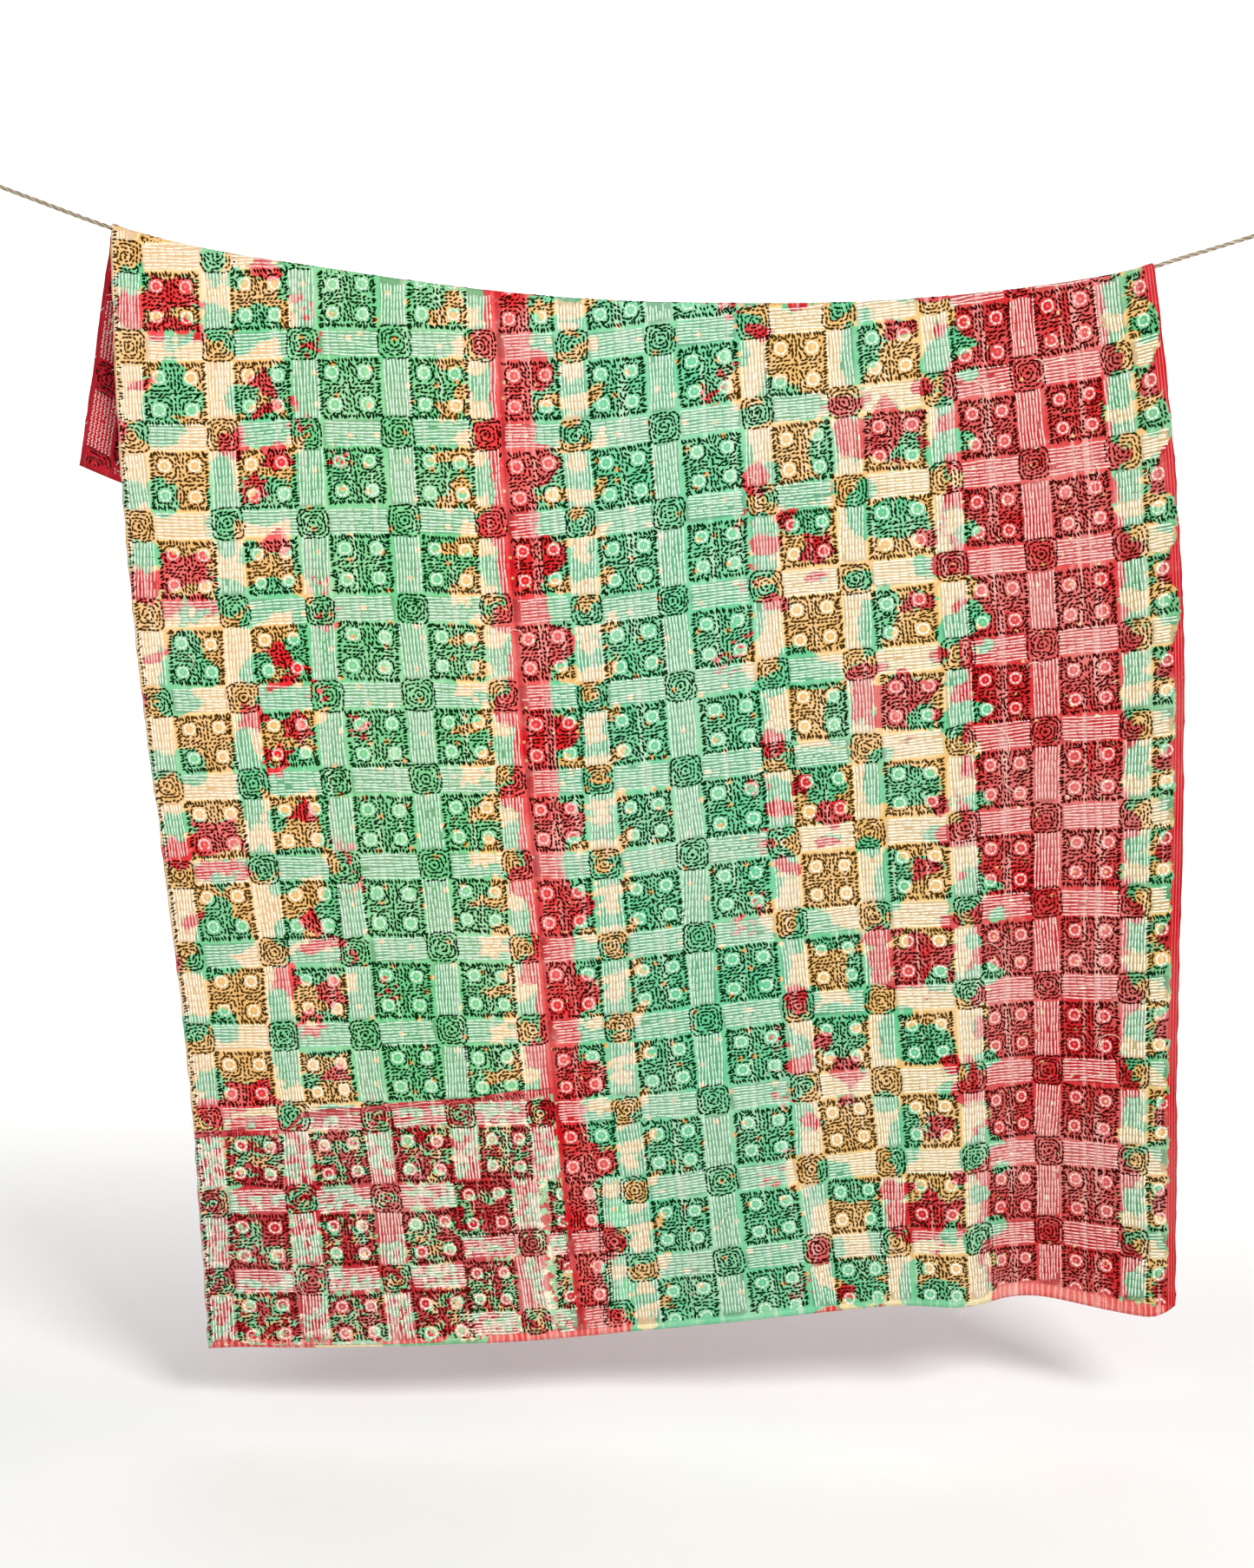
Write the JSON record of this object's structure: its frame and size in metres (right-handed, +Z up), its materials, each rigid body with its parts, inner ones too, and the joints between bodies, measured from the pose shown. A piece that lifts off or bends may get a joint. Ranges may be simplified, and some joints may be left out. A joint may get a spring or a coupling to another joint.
{
  "type": "kantha quilt hung over a rope",
  "caption": "Printed and hand-stitched kantha quilt hung over a thin sagging rope tied between wall eyes, with a short flap behind and a sewn-on patch.",
  "frame": {"origin": "centre of the left wall plate's flat back, where it meets the wall", "axes": "+X along the rope's span from the left plate to the right one, +Z up, and -Y out of the printed face"},
  "size_m": [1.9825, 0.0699, 1.818],
  "materials": {
    "face_print": "matte",
    "backing": "matte",
    "patch_print": "matte",
    "rope": "matte",
    "eye_metal": "satin"
  },
  "bodies": {
    "root": {"face_cloth_left": "face_print", "face_cloth_right": "face_print", "backing_cloth": "backing", "mending_patch": "patch_print", "hanging_rope": "rope", "rope_hitch_left": "rope", "rope_hitch_right": "rope", "wall_eye_left": "eye_metal", "wall_eye_right": "eye_metal"}
  },
  "joints": []
}
